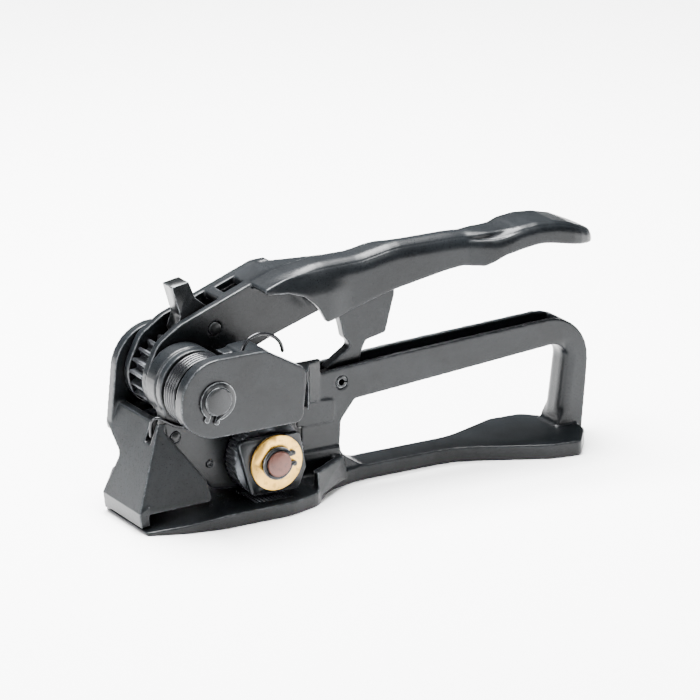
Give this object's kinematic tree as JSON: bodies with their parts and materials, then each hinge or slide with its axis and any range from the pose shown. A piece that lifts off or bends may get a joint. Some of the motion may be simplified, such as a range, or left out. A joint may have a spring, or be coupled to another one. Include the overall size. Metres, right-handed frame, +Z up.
{
  "type": "strapping tensioner tool",
  "caption": "Hand tool that tensions flat strap: D-handled frame with a foot, ratchet lever, gear train and feed wheel over a gripper plug.",
  "frame": {"origin": "on the sole of the foot, under the feed wheel's axis at rest", "axes": "+X from the nose to the heel, +Y away from the side with the brass washer, +Z up"},
  "size_m": [0.3522, 0.095, 0.1565],
  "materials": {
    "black_casting": "satin black coating on cast steel",
    "black_steel": "blackened machined steel",
    "spring_steel": "oil-tempered wire",
    "gear_steel": "hardened dark steel",
    "bronze": "satin, faintly stained",
    "coppered_steel": "reddish-brown face"
  },
  "bodies": {
    "frame_body": {"frame": "black_casting", "nose_housing": "black_casting", "main_shaft": "black_steel", "roll_pin": "black_steel", "shaft_ring_near": "black_steel", "shaft_ring_far": "black_steel", "gripper_plug": "gear_steel", "nose_screw_1": "black_steel", "nose_screw_2": "black_steel", "main_spring": "spring_steel"},
    "carrier_body": {"carrier": "black_casting", "gear_plate": "black_casting", "bearing_block": "black_casting", "hub_bush": "bronze", "arm_bush": "bronze", "block_bush": "bronze", "gear_plate_bush": "bronze", "gear_standoff_1": "black_steel", "gear_standoff_2": "black_steel", "idler_pin": "black_steel", "hold_pawl_pin": "black_steel", "hold_pawl_spring": "spring_steel"},
    "hold_pawl_body": {"hold_pawl": "gear_steel"},
    "drive_gear_body": {"drive_gear": "gear_steel", "drive_gear_bush": "bronze"},
    "idler_body": {"idler_gear": "gear_steel"},
    "feed_body": {"driven_gear": "gear_steel", "feed_wheel": "gear_steel", "feed_shaft": "coppered_steel", "feed_ring_near": "black_steel", "feed_ring_far": "black_steel", "wheel_key": "black_steel", "gear_key": "black_steel", "brass_washer": "bronze", "inner_washer": "bronze", "arm_washer": "bronze"},
    "handle_body": {"tension_handle": "black_casting", "drive_pawl_pin": "black_steel", "near_prong_bush": "bronze", "far_prong_bush": "bronze", "drive_pawl_spring": "spring_steel"},
    "drive_pawl_body": {"drive_pawl": "black_steel"},
    "rocker_body": {"release_rocker": "black_steel"}
  },
  "joints": [
    {"name": "carrier_swing", "type": "hinge", "parent": "frame_body", "child": "carrier_body", "pos_m": [-0.0455, 0, 0.086], "axis": [0, -1, 0], "range_deg": [0, 4.5], "stiffness_Nm_per_rad": 6, "springref_deg": -20.05, "deforming": ["main_spring"]},
    {"name": "handle_swing", "type": "hinge", "parent": "frame_body", "child": "handle_body", "pos_m": [-0.0455, 0, 0.086], "axis": [0, -1, 0], "range_deg": [0, 85]},
    {"name": "drive_pawl_lift", "type": "hinge", "parent": "handle_body", "child": "drive_pawl_body", "pos_m": [-0.019, 0, 0.115], "axis": [0, 1, 0], "range_deg": [0, 15], "stiffness_Nm_per_rad": 0.12, "springref_deg": -20.05, "deforming": ["drive_pawl_spring"]},
    {"name": "hold_pawl_lift", "type": "hinge", "parent": "carrier_body", "child": "hold_pawl_body", "pos_m": [-0.0599, 0, 0.0552], "axis": [0, 1, 0], "range_deg": [0, 12], "stiffness_Nm_per_rad": 0.05, "springref_deg": -20.05, "deforming": ["hold_pawl_spring"]},
    {"name": "drive_gear_spin", "type": "hinge", "parent": "carrier_body", "child": "drive_gear_body", "pos_m": [-0.0455, 0, 0.086], "axis": [0, -1, 0], "continuous": true},
    {"name": "idler_spin", "type": "hinge", "parent": "carrier_body", "child": "idler_body", "pos_m": [-0.02214, 0, 0.06185], "axis": [0, -1, 0], "continuous": true},
    {"name": "feed_spin", "type": "hinge", "parent": "carrier_body", "child": "feed_body", "pos_m": [0, 0, 0.035], "axis": [0, -1, 0], "continuous": true},
    {"name": "rocker_tilt", "type": "hinge", "parent": "frame_body", "child": "rocker_body", "pos_m": [0.064, 0, 0.07], "axis": [0, -1, 0], "range_deg": [-9, 0]}
  ],
  "couplings": [
    {"joint": "idler_spin", "follows": "drive_gear_spin", "ratio": -1.8},
    {"joint": "feed_spin", "follows": "drive_gear_spin", "ratio": 0.94737},
    {"joint": "rocker_tilt", "follows": "carrier_swing", "ratio": -2}
  ]
}
